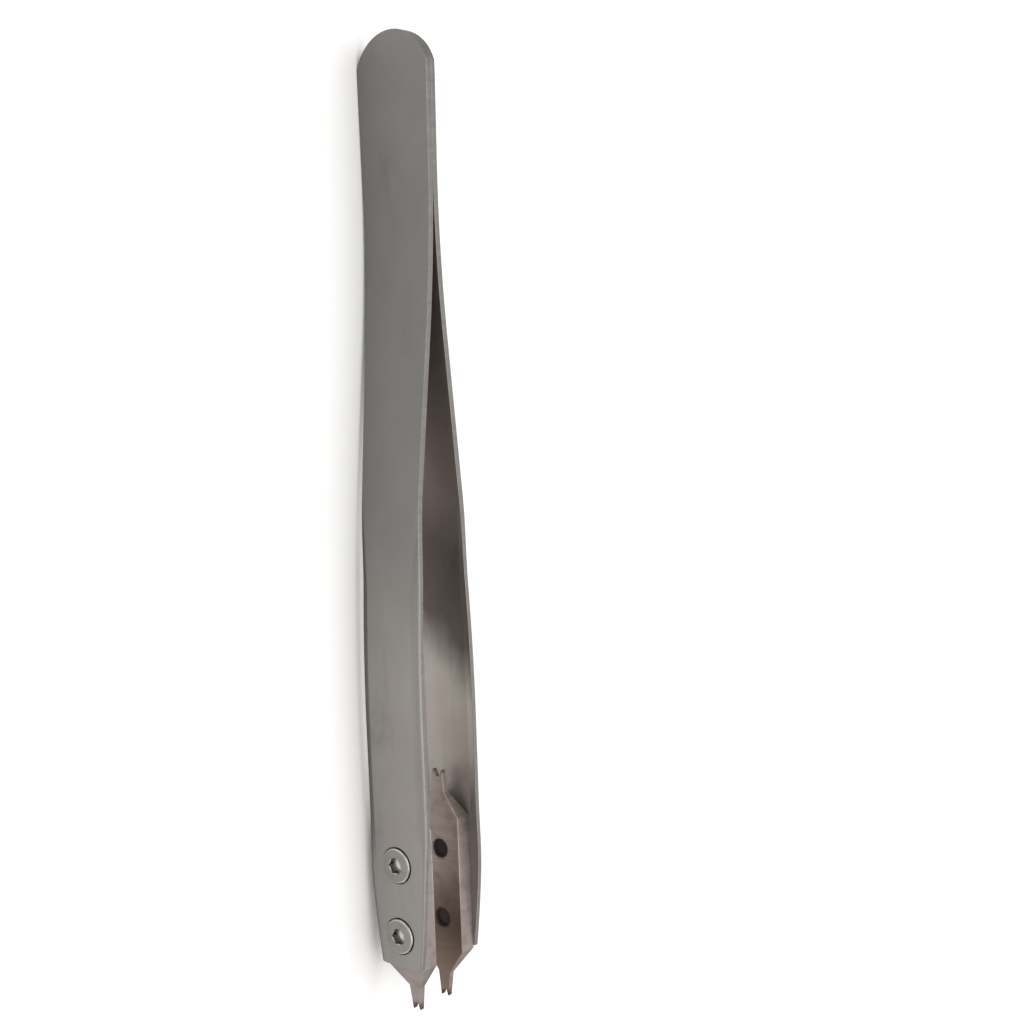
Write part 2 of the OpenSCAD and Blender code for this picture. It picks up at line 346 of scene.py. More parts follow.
def open_material(name):
    """A new material with its graph, and the coordinates of a place on the tool and of the way it faces"""
    material = bpy.data.materials.new(name)
    material.use_nodes = True
    graph = Graph(material.node_tree)
    coordinates = graph.add("ShaderNodeTexCoord").outputs
    return material, graph, coordinates["Object"], coordinates["Normal"]


def close_material(material, graph, colour, tint, **surface):
    """Connects the worked-out surface to the shader; a tint under 1 dims what is seen at a grazing angle"""
    shader = material.node_tree.nodes["Principled BSDF"]
    for label, value in surface.items():
        graph.feed(shader.inputs[label.replace("_", " ")], value)
    shader.inputs["Specular Tint"].default_value = (tint, tint, tint, 1.0)
    material.diffuse_color = (*colour, 1.0)
    return material


def effect(graph, name, **inputs):
    node = graph.add("ShaderNodeGroup", node_tree=group_named(name))
    for label, value in inputs.items():
        graph.feed(node.inputs[label], value)
    return node.outputs


def stretched(graph, place, scale, turn=(0.0, 0.0, 0.0)):
    """Place coordinates stretched along an axis, so that a noise on them draws lines"""
    return graph.add("ShaderNodeMapping", inputs={"Vector": place, "Scale": scale,
                                                  "Rotation": turn}).outputs[0]


def attribute(graph, name):
    return graph.add("ShaderNodeAttribute", attribute_name=name).outputs["Fac"]


def bump(graph, height, strength, distance):
    return graph.add("ShaderNodeBump", inputs={"Strength": strength, "Distance": distance,
                                               "Height": height}).outputs[0]


def tones(colour, *factors):
    """The colour made darker or lighter by each factor"""
    return [tuple(min(1.0, part * factor) for part in colour) for factor in factors]


def parts(g, vector):
    return g.add("ShaderNodeSeparateXYZ", vector).outputs


def screw_depth(g, y):
    """How far a place lies under the screws' faces"""
    return g.math("SUBTRACT", SCREW_FACE, g.math("ABSOLUTE", y))


def screw_distance(g, place):
    """Distance from the nearer screw axis, measured along the arm's face"""
    x, _, z = parts(g, place)
    aside = g.math("SUBTRACT", z, MID_Z)
    ways = [g.math("SQRT", g.math("ADD", g.math("POWER", g.math("SUBTRACT", x, centre), 2.0),
                                  g.math("POWER", aside, 2.0))) for centre in SCREW_X]
    return g.math("MINIMUM", *ways)


def arm_steel():
    """Satin sheet steel: lengthwise grain, faint stains, cross-ground cut edges, painted light growing
    towards the grip, a painted highlight with some wear along the edges, painted shade and light on the inner
    faces, and painted shade on faces that look down
    """
    colours = settings().finish
    material, g, place, facing = open_material("Arm satin steel")
    lengthwise = effect(g, "Ground grain", Vector=stretched(g, place, (220.0, 5200.0, 5200.0)), Seed=3.0)
    edge_grain = effect(g, "Ground grain", Vector=stretched(g, place, (4200.0, 700.0, 700.0)), Seed=8.0)
    blotches = effect(g, "Handling blotches", Vector=stretched(g, place, (0.55, 1.0, 1.0)),
                      Size=95.0, Cover=0.45)
    clouds = blotches["Clouds"]
    edge_wear_and_sheen = effect(g, "Edge wear", Vector=place, Wear=attribute(g, "wear"), Evenness=0.55)["Mask"]
    cut, inner = attribute(g, "cut_edge"), attribute(g, "inner_face")
    x, _, z = parts(g, place)
    wander = g.math("MULTIPLY", g.math("SUBTRACT", clouds, 0.5), 5 * MM)
    slanted = g.math("MULTIPLY_ADD", g.math("SUBTRACT", z, MID_Z), -0.7, g.math("ADD", x, wander))

    # Painted light: the arms brighten from the tail towards the grip
    painted_light_along = g.ramp(x, *PAINTED_LIGHT_ALONG, smooth=True)
    base = g.mix_colour(painted_light_along, colours.arm, colours.lit_and_worn)
    base = g.mix_colour(g.ramp(lengthwise["Mask"], 0.0, 1.0, 0.35, 0.0), base, (0.86, 0.86, 0.86),
                        "MULTIPLY")
    base = g.coat(base, clouds, 0.7, (0.86, 0.86, 0.87), "MULTIPLY")
    base = g.coat(base, blotches["Patches"], g.ramp(inner, 0.0, 1.0, 0.25, 0.5), colours.stain)

    # Painted shade and light on the inner faces: darkened in a slanted band near the weld, bright ahead of
    # it, darker again near the plates
    inside = g.coat(colours.painted_dark_band, g.ramp(slanted, *INSIDE_PAINTED_DARK, smooth=True), 0.45, (0.0, 0.0, 0.0))
    inside = g.mix_colour(g.ramp(slanted, *INSIDE_PAINTED_LIGHT, smooth=True), inside, colours.inside)
    inside = g.mix_colour(g.ramp(x, *INSIDE_END_PAINTED_SHADE, smooth=True), inside, *tones(colours.inside, 0.6))
    inside = g.coat(inside, clouds, 0.5, (0.84, 0.80, 0.77), "MULTIPLY")
    base = g.mix_colour(inner, base, inside)
    base = g.mix_colour(cut, base, g.mix_colour(edge_grain["Mask"], *tones(colours.edge, 0.9, 1.1)))
    # Painted highlight, partly edge wear: the band and rounded edges brightened, fading with the painted
    # light towards the tail
    base = g.coat(base, edge_wear_and_sheen, painted_light_along, *tones(colours.lit_and_worn, 0.92))
    base = g.coat(base, blotches["Specks"], 0.2, colours.stain)
    # Painted shade: faces of the outer steel that look down towards the floor are darkened
    painted_underside_shade = g.ramp(parts(g, facing)[2], -0.03, -0.5, 0.0, 0.6, smooth=True)
    base = g.coat(base, painted_underside_shade, g.math("SUBTRACT", 1.0, inner), (0.25, 0.25, 0.25), "MULTIPLY")

    rough = g.math("MULTIPLY_ADD", lengthwise["Mask"], 0.07, 0.40)
    rough = g.math("MULTIPLY_ADD", clouds, 0.06, rough)
    rough = g.math("MULTIPLY_ADD", inner, 0.05, rough)
    height = g.math("ADD", g.math("MULTIPLY", lengthwise["Height"], g.math("SUBTRACT", 1.0, cut)),
                    g.math("MULTIPLY", edge_grain["Height"], cut))
    return close_material(material, g, colours.arm, 0.55, Base_Color=base, Roughness=rough,
                          Metallic=1.0, Normal=bump(g, height, 0.22, 0.00004))


def fork_steel():
    """Matt ground tool steel: grinding lines across the plate, browned towards the fine fork, painted light
    on the gripping faces, and a painted highlight with some wear on the broken edges
    """
    colours = settings().finish
    material, g, place, _ = open_material("Fork ground steel")
    crosswise = effect(g, "Ground grain", Vector=stretched(g, place, (5200.0, 500.0, 500.0)), Seed=11.0)
    swirl = effect(g, "Ground grain", Seed=17.0,
                   Vector=stretched(g, place, (3600.0, 900.0, 900.0), (0.0, 0.12, 0.0)))
    blotches = effect(g, "Handling blotches", Vector=place, Size=240.0, Cover=0.75)
    edge_wear_and_sheen = effect(g, "Edge wear", Vector=place, Wear=attribute(g, "wear"), Evenness=0.7)["Mask"]
    x, y, _ = parts(g, place)
    uneven = g.math("MULTIPLY", g.math("SUBTRACT", blotches["Clouds"], 0.5), 1.2 * MM)

    base = g.mix_colour(crosswise["Mask"], *tones(colours.fork, 0.88, 1.10))
    base = g.coat(base, blotches["Clouds"], 0.5, (0.92, 0.86, 0.82), "MULTIPLY")
    base = g.coat(base, swirl["Scratch"], 0.35, *tones(colours.fork, 1.4))
    base = g.coat(base, blotches["Patches"], 0.35, colours.stain)
    # Painted light: the plate's gripping face, deep in the gap between the arms, is made nearly twice as
    # bright; the browning lies on it too
    inner = g.ramp(screw_depth(g, y), 4.0 * MM, 4.25 * MM)
    base = g.mix_colour(inner, base, (1.95, 1.93, 1.90), "MULTIPLY")
    base = g.coat(base, g.ramp(g.math("ADD", x, uneven), *BROWNED, smooth=True), inner, colours.browned)
    # Painted highlight, partly wear, on the broken edges
    base = g.coat(base, edge_wear_and_sheen, 0.5, *tones(colours.fork, 1.3))

    stained = 1.5 * MM
    past_end = g.math("MAXIMUM", g.math("SUBTRACT", x, FORK_HIGH.x - stained),
                      g.math("SUBTRACT", FORK_LOW.x + stained, x))
    at_grooves = g.ramp(g.math("ADD", past_end, uneven), 0.2 * MM, 1.3 * MM, 0.0, 0.75, smooth=True)
    near_hole = screw_distance(g, place)
    round_hole = g.ramp(g.math("ADD", near_hole, g.math("MULTIPLY", uneven, 0.3)),
                        1.55 * MM, 1.85 * MM, 0.35, 0.0, smooth=True)
    in_hole = g.ramp(near_hole, 1.50 * MM, 1.58 * MM, 0.92, 0.0)
    oxide = g.math("MAXIMUM", g.math("MAXIMUM", at_grooves, round_hole), in_hole)
    base = g.mix_colour(oxide, base, colours.oxide)

    rough = g.math("MULTIPLY_ADD", crosswise["Mask"], 0.10, 0.46)
    rough = g.math("MULTIPLY_ADD", oxide, 0.2, rough)
    rough = g.math("MULTIPLY_ADD", edge_wear_and_sheen, -0.10, rough, clamp=True)
    height = g.math("MULTIPLY_ADD", swirl["Scratch"], 0.5, crosswise["Height"])
    return close_material(material, g, colours.fork, 0.7, Base_Color=base, Roughness=rough,
                          Metallic=g.ramp(oxide, 0.0, 1.0, 1.0, 0.5),
                          Normal=bump(g, height, 0.35, 0.00005))


def screw_steel():
    """Turned steel: fine rings round the head, a rim brightened as wear and painted highlight, a socket floor
    brightened as painted light, socket walls darkened as painted shade, and an oily thread
    """
    colours = settings().finish
    material, g, place, _ = open_material("Screw turned steel")
    rings = g.math("MULTIPLY", screw_distance(g, place), 26000.0)
    turned = g.add("ShaderNodeTexNoise", noise_dimensions="1D",
                   inputs={"W": rings, "Scale": 1.0, "Detail": 3.0}).outputs[0]
    clouds = effect(g, "Handling blotches", Vector=place, Size=420.0, Cover=0.6)["Clouds"]
    lit_and_worn = effect(g, "Edge wear", Vector=place, Wear=attribute(g, "wear"), Evenness=0.6)["Mask"]
    oily = g.ramp(screw_depth(g, parts(g, place)[1]), 1.3 * MM, 1.6 * MM, 0.0, 0.95)

    base = g.mix_colour(g.ramp(turned, 0.35, 0.65), *tones(colours.screw, 0.92, 1.08))
    base = g.coat(base, clouds, 0.6, (0.82, 0.81, 0.80), "MULTIPLY")
    # Painted highlight, partly wear: the rim made nearly twice as bright
    base = g.mix_colour(lit_and_worn, base, *tones(colours.screw, 1.9))
    # Painted light on the socket floor and painted shade on the socket walls
    base = g.mix_colour(attribute(g, "socket_floor"), base, *tones(colours.screw, 2.4))
    base = g.coat(base, attribute(g, "socket_wall"), 0.8, colours.stain)
    base = g.mix_colour(oily, base, colours.oxide)
    rough = g.math("MULTIPLY_ADD", clouds, 0.12, 0.30)
    rough = g.math("MULTIPLY_ADD", lit_and_worn, -0.10, rough, clamp=True)
    return close_material(material, g, colours.screw, 0.7, Base_Color=base, Roughness=rough,
                          Metallic=g.ramp(oily, 0.0, 1.0, 1.0, 0.3),
                          Normal=bump(g, turned, 0.15, 0.00003))


# ---------------------------------------------------------------- mesh helpers

def new_object(name, mesh):
    piece = bpy.data.objects.new(name, mesh)
    bpy.context.scene.collection.objects.link(piece)
    return piece


def mesh_from(bm, name, scale=1.0):
    """A new mesh from a finished bmesh, which is freed"""
    bmesh.ops.recalc_face_normals(bm, faces=bm.faces)
    mesh = bpy.data.meshes.new(name)
    bm.to_mesh(mesh)
    bm.free()
    mesh.transform(Matrix.Scale(scale, 4))
    return mesh


def drop(*objects):
    for piece in objects:
        mesh = piece.data
        bpy.data.objects.remove(piece)
        bpy.data.meshes.remove(mesh)


def evaluated_mesh(piece, name):
    """A plain copy of a piece's mesh with its modifiers in it"""
    bpy.context.view_layer.update()
    mesh = bpy.data.meshes.new_from_object(piece.evaluated_get(bpy.context.evaluated_depsgraph_get()))
    mesh.name = name
    return mesh


def combined(base, operation, *tools):
    """Joins, cuts or intersects the base object with each tool, and removes the tools"""
    for tool in tools:
        cut = base.modifiers.new("Cut", "BOOLEAN")
        cut.operation = operation
        cut.solver = "EXACT"
        cut.object = tool
    mesh = evaluated_mesh(base, base.data.name)
    base.modifiers.clear()
    old = base.data
    base.data = mesh
    bpy.data.meshes.remove(old)
    drop(*tools)
    return base


def lathe(name, outline, steps=96):
    """A closed solid turned about Z from (radius, height) points that start and end on the axis"""
    bm = bmesh.new()
    turns = [(math.cos(math.tau * i / steps), math.sin(math.tau * i / steps)) for i in range(steps)]
    rings = []
    for radius, height in outline:
        if radius == 0:
            rings.append([bm.verts.new((0, 0, height))] * steps)
        else:
            rings.append([bm.verts.new((radius * c, radius * s, height)) for c, s in turns])
    for low, high in zip(rings, rings[1:]):
        for i in range(steps):
            j = (i + 1) % steps
            corners = [low[i], low[j], high[j], high[i]]
            bm.faces.new(list(dict.fromkeys(corners)))
    return new_object(name, mesh_from(bm, name))


def prism(name, outline, low, high, lift):
    """A closed solid from a flat outline: lift turns (u, v, depth) into a point"""
    bm = bmesh.new()
    layers = [[bm.verts.new(lift(u, v, depth)) for u, v in outline] for depth in (low, high)]
    count = len(outline)
    bm.faces.new(layers[0])
    bm.faces.new(layers[1])
    for i in range(count):
        j = (i + 1) % count
        bm.faces.new([layers[0][i], layers[0][j], layers[1][j], layers[1][i]])
    return new_object(name, mesh_from(bm, name))


# Crest, flank, root and flank of one thread turn: share of the pitch, and of the way from root to crest
THREAD_SHAPE = ((0.0, 1.0), (0.06, 1.0), (0.125, 1.0), (0.27, 0.5), (0.414, 0.0), (0.56, 0.0),
                (0.711, 0.0), (0.856, 0.5))


def thread(name, root, crest, pitch, low, high, limit, steps=48):
    """A right-handed threaded rod along Z, square at both ends; limit gives its largest radius at a height"""
    bm = bmesh.new()
    first, last = math.floor(low / pitch) - 2, math.ceil(high / pitch) + 1
    rows = [(turn + share, root + (crest - root) * rise)
            for turn in range(first, last + 1) for share, rise in THREAD_SHAPE]
    grid = []
    for turn, radius in rows:
        row = []
        for i in range(steps):
            height = pitch * (turn + i / steps)
            r = min(radius, limit(height))
            angle = math.tau * i / steps
            row.append(bm.verts.new((r * math.cos(angle), r * math.sin(angle), height)))
        grid.append(row)
    per_turn = len(THREAD_SHAPE)
    for n in range(len(grid) - 1):
        for i in range(steps):
            over, after = (0, i + 1) if i + 1 < steps else (per_turn, 0)
            if n + 1 + over < len(grid):
                bm.faces.new([grid[n][i], grid[n + over][after], grid[n + 1 + over][after], grid[n + 1][i]])
    for height, side in ((low, -1), (high, 1)):
        cut = bmesh.ops.bisect_plane(bm, geom=bm.verts[:] + bm.edges[:] + bm.faces[:], dist=1e-6,
                                     plane_co=(0, 0, height), plane_no=(0, 0, side), clear_outer=True)
        edges = [e for e in cut["geom_cut"] if isinstance(e, bmesh.types.BMEdge)]
        bmesh.ops.edgenet_fill(bm, edges=edges)
    bmesh.ops.delete(bm, geom=[v for v in bm.verts if not v.link_faces], context="VERTS")
    return new_object(name, mesh_from(bm, name))


def mark_faces(mesh, name, chosen):
    """Stores a 0 to 1 number on each face, for the materials to read"""
    layer = mesh.attributes.new(name, "FLOAT", "FACE")
    values = np.zeros(len(mesh.polygons), np.float32)
    values[list(chosen)] = 1.0
    layer.data.foreach_set("value", values)


def even_shading(mesh, sharp_angle):
    """Smooth shading that stays true on the flat faces, with creases above the given angle"""
    mesh.shade_smooth()
    mesh.set_sharp_from_angle(angle=math.radians(sharp_angle))
    piece = new_object("shading", mesh)
    weighted = piece.modifiers.new("Weighted", "WEIGHTED_NORMAL")
    weighted.mode = "FACE_AREA"
    weighted.weight = 100
    weighted.keep_sharp = True
    shaded = evaluated_mesh(piece, mesh.name)
    drop(piece)
    return shaded


# ---------------------------------------------------------------- geometry trees

PROFILE = ("Weld", "First bend", "Straight end", "Second bend", "Spread slope", "Grip slope")
PLACING = PROFILE + ("Tip screw", "Tail screw")
FRAME_PLACE = ("Half turn", "Tail X", "Mid Z")
# Inputs of the pressing tree that are arm settings, under the same names
PRESSED_SIZES = ("Sheet", "Fold width", "Fold depth", "Fold start", "Fold run", "Fold fade", "Fold softness",
                 "Arris width", "Arris depth", "Seat depth", "Seat chamfer", "Hole radius")


def numbers(*names):
    return [(name, "NodeSocketFloat", 0.0) for name in names]


TURN_INPUTS = numbers("First turn", "Turn spread") + [("Turn seed", "NodeSocketInt", 0)]


def use_group(graph, name, given, **own):
    """Places a node group and wires every input that the tree around it has under the same name"""
    node = graph.add("GeometryNodeGroup", node_tree=group_named(name))
    own = {key.replace("_", " "): value for key, value in own.items()}
    for socket in node.inputs:
        if socket.name in own:
            graph.feed(socket, own[socket.name])
        elif socket.name in given:
            graph.feed(socket, given[socket.name])
    return node.outputs


def bend_rise_tree():
    """How far a strip rises over one bend whose slope changes evenly from one value to another"""
    g, given, result = open_group("Bend rise", "GeometryNodeTree",
                                  numbers("Place", "Start", "Run", "Slope before", "Slope after"),
                                  [("Rise", "NodeSocketFloat")])
    ahead = g.math("MAXIMUM", g.math("SUBTRACT", given["Place"], given["Start"]), 0.0)
    inside = g.math("MINIMUM", ahead, given["Run"])
    change = g.math("SUBTRACT", given["Slope after"], given["Slope before"])
    curve = g.math("DIVIDE", change, g.math("MULTIPLY", given["Run"], 2.0))
    slope = g.math("MULTIPLY_ADD", curve, inside, given["Slope before"])
    g.feed(result["Rise"], g.math("MULTIPLY", slope, inside))
    return g.tree


def arm_profile_tree():
    """Height of the arm's inner face over the middle plane at a place along the tool"""
    g, given, result = open_group("Arm profile", "GeometryNodeTree", numbers("Place", *PROFILE),
                                  [("Height", "NodeSocketFloat")])
    bend_end = g.math("ADD", given["Weld"], given["First bend"])
    spread = g.math("SUBTRACT", given["Straight end"], bend_end)
    grip_start = g.math("ADD", given["Straight end"], given["Second bend"])
    steep, grip = given["Spread slope"], given["Grip slope"]
    endless = 1.0
    height = 0.0
    for start, run, before, after in ((given["Weld"], given["First bend"], 0.0, steep),
                                      (bend_end, spread, steep, steep),
                                      (given["Straight end"], given["Second bend"], steep, grip),
                                      (grip_start, endless, grip, grip)):
        rise = use_group(g, "Bend rise", given, Start=start, Run=run, Slope_before=before, Slope_after=after)
        height = g.math("ADD", height, rise["Rise"])
    g.feed(result["Height"], height)
    return g.tree


def screw_places_tree():
    """The two screw axes of one arm, as points on its inner face, and how anything there is turned"""
    g, given, result = open_group(
        "Screw places", "GeometryNodeTree", numbers(*PLACING) + TURN_INPUTS,
        [("Points", "NodeSocketGeometry"), ("Screw rotation", "NodeSocketRotation"),
         ("Plate rotation", "NodeSocketRotation")])
    ends = []
    for name in ("Tip screw", "Tail screw"):
        height = use_group(g, "Arm profile", given, Place=given[name])["Height"]
        ends.append(g.add("ShaderNodeCombineXYZ", given[name], height, 0.0).outputs[0])
    line = g.add("GeometryNodeMeshLine", mode="END_POINTS",
                 inputs={"Count": 2, "Start Location": ends[0], "Offset": ends[1]})
    g.feed(result["Points"], line.outputs["Mesh"])
    lean = g.math("ARCTANGENT", given["Grip slope"])
    chance = g.add("FunctionNodeRandomValue", data_type="FLOAT")
    half_spread = g.math("MULTIPLY", given["Turn spread"], 0.5)
    g.feed(chance.inputs[2], g.math("SUBTRACT", given["First turn"], half_spread))
    g.feed(chance.inputs[3], g.math("ADD", given["First turn"], half_spread))
    g.feed(chance.inputs["Seed"], given["Turn seed"])
    turn = chance.outputs[1]
    outwards = g.add("ShaderNodeCombineXYZ", -math.pi / 2, turn, lean).outputs[0]
    flat = g.add("ShaderNodeCombineXYZ", 0.0, 0.0, lean).outputs[0]
    for name, angles in (("Screw rotation", outwards), ("Plate rotation", flat)):
        g.feed(result[name], g.add("FunctionNodeEulerToRotation", angles).outputs[0])
    return g.tree


def end_tree(g, geometry, given, result):
    """Moves a half from the tail end to the frame, turned over for the front, and returns the whole tree"""
    turn = g.add("ShaderNodeCombineXYZ", given["Half turn"], 0.0, 0.0).outputs[0]
    shift = g.add("ShaderNodeCombineXYZ", given["Tail X"], 0.0, given["Mid Z"]).outputs[0]
    moved = g.add("GeometryNodeTransform", inputs={"Geometry": geometry, "Translation": shift,
                                                   "Rotation": turn}).outputs[0]
    real = g.add("GeometryNodeRealizeInstances", moved).outputs[0]
    g.feed(result["Geometry"], g.add("GeometryNodeSetMaterial",
                                     inputs={"Geometry": real, "Material": given["Material"]}).outputs[0])
    return g.tree


def open_tree(name, extra):
    return open_group(name, "GeometryNodeTree",
                      [("Geometry", "NodeSocketGeometry", None)] + numbers(*FRAME_PLACE, *PLACING) + extra
                      + [("Material", "NodeSocketMaterial", None)],
                      [("Geometry", "NodeSocketGeometry")])


def at_screws(g, places, shape):
    return g.add("GeometryNodeInstanceOnPoints", inputs={
        "Points": places["Points"], "Instance": shape, "Rotation": places["Screw rotation"]}).outputs[0]


def cut_at_screws(g, mesh, places, *shapes):
    """Cuts each shape out of the mesh at both screw places"""
    cut = g.add("GeometryNodeMeshBoolean", operation="DIFFERENCE", solver="EXACT", inputs={"Mesh 1": mesh})
    for shape in shapes:
        real = g.add("GeometryNodeRealizeInstances", at_screws(g, places, shape)).outputs[0]
        g.tree.links.new(real, cut.inputs["Mesh 2"])
    return cut.outputs["Mesh"]


def lifted(g, geometry, height):
    shift = g.add("ShaderNodeCombineXYZ", 0.0, 0.0, height).outputs[0]
    return g.add("GeometryNodeTransform", inputs={"Geometry": geometry, "Translation": shift}).outputs[0]


def press_arm_tree():
    """Presses the folded edges and both bends into a flat blank, then drills and seats it for its screws"""
    g, given, result = open_tree("Press arm", numbers("Fold end", "Seat radius", *PRESSED_SIZES))
    place = parts(g, g.add("GeometryNodeInputPosition").outputs[0])
    inset = g.add("GeometryNodeInputNamedAttribute", data_type="FLOAT", inputs={"Name": "inset"}).outputs[0]
    sheet, fold_width = given["Sheet"], given["Fold width"]

    run_end = g.math("ADD", given["Fold start"], given["Fold run"])
    pressed_from = g.ramp(place["X"], given["Fold start"], run_end, smooth=True)
    fade_start = g.math("SUBTRACT", given["Fold end"], given["Fold fade"])
    pressed_to = g.ramp(place["X"], fade_start, given["Fold end"], 1.0, 0.0, smooth=True)
    depth = g.math("MULTIPLY", given["Fold depth"], g.math("MULTIPLY", pressed_from, pressed_to))
    width = g.math("MULTIPLY", fold_width, g.ramp(place["X"], given["Fold start"], run_end, 0.2, 1.0))
    into = g.math("SMOOTH_MAX", g.math("SUBTRACT", width, inset), 0.0, given["Fold softness"])
    lowering = g.math("MULTIPLY", depth, g.math("DIVIDE", into, width))

    near_edge = g.ramp(inset, 0.0, given["Arris width"], 1.0, 0.0)
    level = g.math("SQRT", g.math("SUBTRACT", 1.0, g.math("MULTIPLY", near_edge, near_edge)))
    rounded = g.math("MULTIPLY", given["Arris depth"], g.math("SUBTRACT", 1.0, level))
    outer_share = g.math("DIVIDE", place["Y"], sheet)
    rounded = g.math("MULTIPLY", rounded, g.math("MULTIPLY", outer_share, pressed_from))

    bend = use_group(g, "Arm profile", given, Place=place["X"])["Height"]
    y = g.math("SUBTRACT", g.math("ADD", bend, place["Y"]), g.math("ADD", lowering, rounded))
    target = g.add("ShaderNodeCombineXYZ", place["X"], y, place["Z"]).outputs[0]
    pressed = g.add("GeometryNodeSetPosition", inputs={"Geometry": given["Geometry"],
                                                       "Position": target}).outputs[0]

    places = use_group(g, "Screw places", given)
    clear, sides = 1.0 * MM, 96
    hole = g.add("GeometryNodeMeshCylinder", inputs={
        "Vertices": sides, "Radius": given["Hole radius"],
        "Depth": g.math("ADD", sheet, 2 * clear)}).outputs["Mesh"]
    hole = lifted(g, hole, g.math("MULTIPLY", sheet, 0.5))
    seat_floor = g.math("SUBTRACT", sheet, given["Seat depth"])
    seat = g.add("GeometryNodeMeshCylinder", inputs={
        "Vertices": sides, "Radius": given["Seat radius"],
        "Depth": g.math("ADD", given["Seat depth"], clear)}).outputs["Mesh"]
    seat = lifted(g, seat, g.math("ADD", seat_floor,
                                  g.math("MULTIPLY", g.math("ADD", given["Seat depth"], clear), 0.5)))
    chamfer = given["Seat chamfer"]
    mouth = g.add("GeometryNodeMeshCone", inputs={
        "Vertices": sides, "Radius Bottom": given["Seat radius"],
        "Radius Top": g.math("MULTIPLY_ADD", chamfer, 2.0, given["Seat radius"]),
        "Depth": g.math("MULTIPLY", chamfer, 2.0)}).outputs["Mesh"]
    mouth = lifted(g, mouth, g.math("SUBTRACT", sheet, chamfer))
    return end_tree(g, cut_at_screws(g, pressed, places, hole, seat, mouth), given, result)


def fit_fork_tree():
    """Puts a fork plate on its arm and taps it for the two screws"""
    g, given, result = open_tree("Fit fork plate", TURN_INPUTS + [("Tap", "NodeSocketObject", None)])
    places = use_group(g, "Screw places", given)
    first = g.add("FunctionNodeCompare", data_type="INT", operation="EQUAL")
    g.feed(first.inputs[2], g.add("GeometryNodeInputIndex").outputs[0])
    plate = g.add("GeometryNodeInstanceOnPoints", inputs={
        "Points": places["Points"], "Selection": first.outputs[0], "Instance": given["Geometry"],
        "Rotation": places["Plate rotation"]}).outputs[0]
    plate = g.add("GeometryNodeRealizeInstances", plate).outputs[0]
    tap = g.add("GeometryNodeObjectInfo", inputs={"Object": given["Tap"]}).outputs["Geometry"]
    return end_tree(g, cut_at_screws(g, plate, places, tap), given, result)


def drive_screws_tree():
    """Drives one screw into each of an arm's two places, each turned by its own amount"""
    g, given, result = open_tree("Drive screws", TURN_INPUTS)
    places = use_group(g, "Screw places", given)
    return end_tree(g, at_screws(g, places, given["Geometry"]), given, result)


MAKERS = {"Ground grain": grain_group, "Handling blotches": blotch_group, "Edge wear": wear_group,
          "Bend rise": bend_rise_tree, "Arm profile": arm_profile_tree, "Screw places": screw_places_tree,
          "Press arm": press_arm_tree, "Fit fork plate": fit_fork_tree, "Drive screws": drive_screws_tree}


def shape_through_tree(mesh, tree_name, values, name):
    """Runs a mesh through a geometry tree with the given inputs and returns the plain result"""
    piece = new_object(name + "_start", mesh)
    modifier = piece.modifiers.new(tree_name, "NODES")
    tree = group_named(tree_name)
    modifier.node_group = tree
    for item in tree.interface.items_tree:
        if item.in_out == "INPUT" and item.name in values:
            modifier[item.identifier] = values[item.name]
    missing = set(values) - {item.name for item in tree.interface.items_tree}
    if missing:
        raise RuntimeError(f"{tree_name} has no input {sorted(missing)}")
    shaped = evaluated_mesh(piece, name)
    bpy.data.objects.remove(piece)
    if not shaped.polygons:
        raise RuntimeError(f"{tree_name} made nothing for {name}")
    return shaped


# ---------------------------------------------------------------- places along the tool

def placing_values(side, material):
    """The inputs that all three geometry trees share"""
    arm = settings().arm
    grip_start = FORK_LOW.x - TAIL_X - arm.grip_lead
    return {
        "Half turn": 0.0 if side == REAR else math.pi, "Tail X": TAIL_X, "Mid Z": MID_Z,
        "Weld": arm.weld, "First bend": arm.first_bend,
        "Straight end": grip_start - arm.second_bend, "Second bend": arm.second_bend,
        "Spread slope": math.tan(arm.spread_angle), "Grip slope": math.tan(arm.grip_angle),
        "Tip screw": SCREW_X[0] - TAIL_X, "Tail screw": SCREW_X[1] - TAIL_X,
        "Material": material,
    }


def turn_values(side):
    screw = settings().screw
    return {"First turn": screw.first_turn, "Turn spread": screw.turn_spread,
            "Turn seed": screw.seed + (side == FRONT)}


# ---------------------------------------------------------------- arms

def half_width(s):
    """Half the arm's width at s: a straight taper to the grip, then a parabola to the nose"""
    arm = settings().arm
    tail_radius = TAIL_WIDTH / 2 + arm.tail_blunt
    taper = np.clip((s - tail_radius) / (arm.fold_start - tail_radius), 0, 1)
    nose = np.maximum(0, (s - ARM_LENGTH) / arm.nose_length + 1)
    width = TAIL_WIDTH + (arm.grip_width - TAIL_WIDTH) * taper
    return (width - (arm.grip_width - arm.nose_width) * nose ** 2) / 2


def fold_end():
    """Where the pressed edges are flat again, because their bend lines would reach the fork plate's sides"""
    arm = settings().arm
    room = max(0.0, arm.grip_width - 2 * arm.fold_width - FORK_WIDTH)
    nose_start = ARM_LENGTH - arm.nose_length
    return nose_start + arm.nose_length * math.sqrt(room / (arm.grip_width - arm.nose_width))


